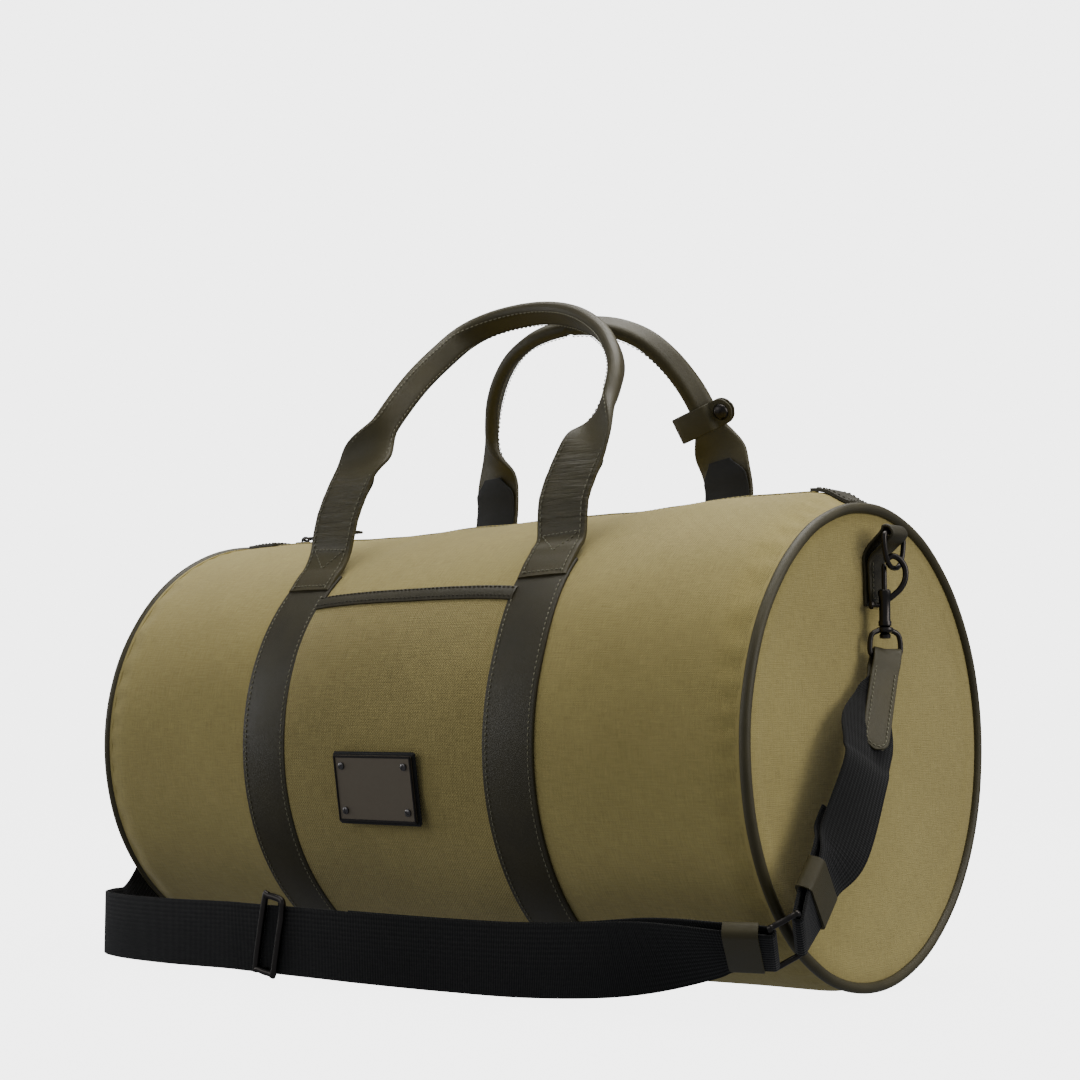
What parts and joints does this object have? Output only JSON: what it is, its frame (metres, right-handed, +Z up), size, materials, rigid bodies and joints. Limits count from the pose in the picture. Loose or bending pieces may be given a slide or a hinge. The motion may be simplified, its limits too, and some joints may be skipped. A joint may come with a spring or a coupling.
{
  "type": "duffel bag",
  "caption": "Barrel duffel bag in canvas and leather, with a top zip, two arched handles, a front pocket and a webbing shoulder strap clipped to rings on its ends.",
  "frame": {"origin": "centre of the flat strip of canvas that the bag rests on, midway between its ends", "axes": "+X along the barrel towards the end with the corner ring, -Y towards the front pocket, +Z up"},
  "size_m": [0.5384, 0.2794, 0.3993],
  "materials": {
    "canvas": "olive plain-weave canvas",
    "leather": "smooth dark olive-brown leather with a low sheen",
    "dark_leather": "near-black leather",
    "piping_leather": "rolled leather piping",
    "webbing": "near-black woven webbing",
    "zip_tape": "woven zip tape",
    "lining_fabric": "dark woven lining",
    "board": "stiffener board",
    "gunmetal": "polished gunmetal plating"
  },
  "bodies": {
    "bag": {"badge_backing": "dark_leather", "badge_plate": "gunmetal", "badge_screw_1": "gunmetal", "badge_screw_2": "gunmetal", "badge_screw_3": "gunmetal", "badge_screw_4": "gunmetal", "barrel_canvas": "canvas", "base_board": "board", "body_strap_left": "leather", "body_strap_right": "leather", "corner_ring": "gunmetal", "end_panel_left": "canvas", "end_panel_right": "canvas", "handle_end_front_left": "leather", "handle_end_front_right": "leather", "handle_end_rear_left": "leather", "handle_end_rear_right": "leather", "keeper_long": "leather", "keeper_short": "leather", "lining": "lining_fabric", "piping_left": "piping_leather", "piping_right": "piping_leather", "pocket_binding": "leather", "pocket_panel": "canvas", "ring_tab_left": "leather", "ring_tab_right": "leather", "strap_end_inner_left": "leather", "strap_end_inner_right": "leather", "strap_end_outer_left": "leather", "strap_end_outer_right": "leather", "swivel_eye_left": "gunmetal", "swivel_eye_right": "gunmetal", "webbing_long": "webbing", "webbing_short": "webbing", "zip_end_tab_left": "leather", "zip_end_tab_right": "leather", "zip_tape_back": "zip_tape", "zip_tape_front": "zip_tape"},
    "d_ring_right": {"d_ring_right": "gunmetal"},
    "hook_right": {"hook_body_right": "gunmetal"},
    "hook_bolt_right": {"hook_bolt_right": "gunmetal"},
    "d_ring_left": {"d_ring_left": "gunmetal"},
    "hook_left": {"hook_body_left": "gunmetal"},
    "hook_bolt_left": {"hook_bolt_left": "gunmetal"},
    "front_handle": {"front_handle": "leather", "front_handle_lining_left": "dark_leather", "front_handle_lining_right": "dark_leather"},
    "rear_handle": {"rear_handle": "leather", "rear_handle_lining_left": "dark_leather", "rear_handle_lining_right": "dark_leather", "handle_wrap_back": "leather", "snap_stud": "gunmetal"},
    "wrap_flap": {"handle_wrap_flap": "leather", "snap_cap": "gunmetal"},
    "zip_slider": {"zip_slider": "gunmetal"},
    "zip_pull": {"zip_pull_tab": "gunmetal", "zip_pull_leather": "leather"},
    "strap_slider": {"strap_slider": "gunmetal"}
  },
  "joints": [
    {"name": "front_handle_swing", "type": "hinge", "parent": "bag", "child": "front_handle", "pos_m": [0, -0.0748, 0.2445], "axis": [1, 0, 0], "range_deg": [0, 110]},
    {"name": "rear_handle_swing", "type": "hinge", "parent": "bag", "child": "rear_handle", "pos_m": [0, 0.0758, 0.2445], "axis": [-1, 0, 0], "range_deg": [0, 110]},
    {"name": "wrap_flap_open", "type": "hinge", "parent": "rear_handle", "child": "wrap_flap", "pos_m": [0.06464, 0.0709, 0.32185], "axis": [0.28, 0.36, -0.89], "range_deg": [0, 58]},
    {"name": "zip_slide", "type": "slide", "parent": "bag", "child": "zip_slider", "axis": [1, 0, 0], "range_m": [0, 0.376]},
    {"name": "zip_pull_flip", "type": "hinge", "parent": "zip_slider", "child": "zip_pull", "pos_m": [-0.188, 0, 0.2625], "axis": [0, -1, 0], "range_deg": [0, 110]},
    {"name": "strap_slider_slide", "type": "slide", "parent": "bag", "child": "strap_slider", "axis": [1, 0, 0], "range_m": [-0.008, 0.008]},
    {"name": "d_ring_right_swing", "type": "hinge", "parent": "bag", "child": "d_ring_right", "pos_m": [0.2474, 0, 0.243], "axis": [0, 1, 0], "range_deg": [-3, 3]},
    {"name": "hook_right_swivel", "type": "hinge", "parent": "bag", "child": "hook_right", "pos_m": [0.2435, -0.0039, 0.19], "axis": [0, 0, 1], "range_deg": [-5, 5]},
    {"name": "hook_right_bolt", "type": "slide", "parent": "hook_right", "child": "hook_bolt_right", "axis": [0, 0, -1], "range_m": [0, 0.005], "stiffness_N_per_m": 200, "springref_m": -0.003},
    {"name": "d_ring_left_swing", "type": "hinge", "parent": "bag", "child": "d_ring_left", "pos_m": [-0.2474, 0, 0.243], "axis": [0, 1, 0], "range_deg": [-3, 3]},
    {"name": "hook_left_swivel", "type": "hinge", "parent": "bag", "child": "hook_left", "pos_m": [-0.2435, -0.0039, 0.19], "axis": [0, 0, 1], "range_deg": [-5, 5]},
    {"name": "hook_left_bolt", "type": "slide", "parent": "hook_left", "child": "hook_bolt_left", "axis": [0, 0, -1], "range_m": [0, 0.005], "stiffness_N_per_m": 200, "springref_m": -0.003}
  ]
}
